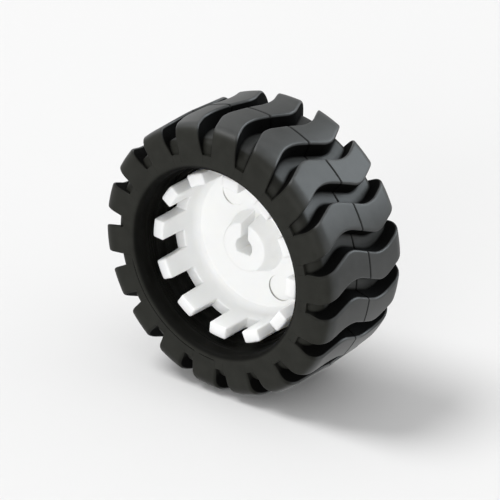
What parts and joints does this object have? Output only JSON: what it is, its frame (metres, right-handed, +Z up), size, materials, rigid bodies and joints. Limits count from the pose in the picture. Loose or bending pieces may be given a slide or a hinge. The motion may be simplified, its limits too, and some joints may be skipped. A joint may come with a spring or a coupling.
{
  "type": "robot car wheel",
  "caption": "Small robot car wheel: a lugged rubber tyre on a moulded hub, with a D-shaped bore for a gearmotor shaft and a ring of teeth that a wheel sensor counts.",
  "frame": {"origin": "the wheel's centre: on the axle line, midway across the tyre's width", "axes": "+Y along the axle, away from the motor; the ring of teeth and the slit end of the boss face -Y; +Z up"},
  "size_m": [0.043, 0.019, 0.043],
  "materials": {
    "tyre": "moulded black rubber, satin",
    "hub": "white moulded plastic, fine satin"
  },
  "bodies": {
    "root": {"tyre": "tyre", "hub": "hub"}
  },
  "joints": []
}
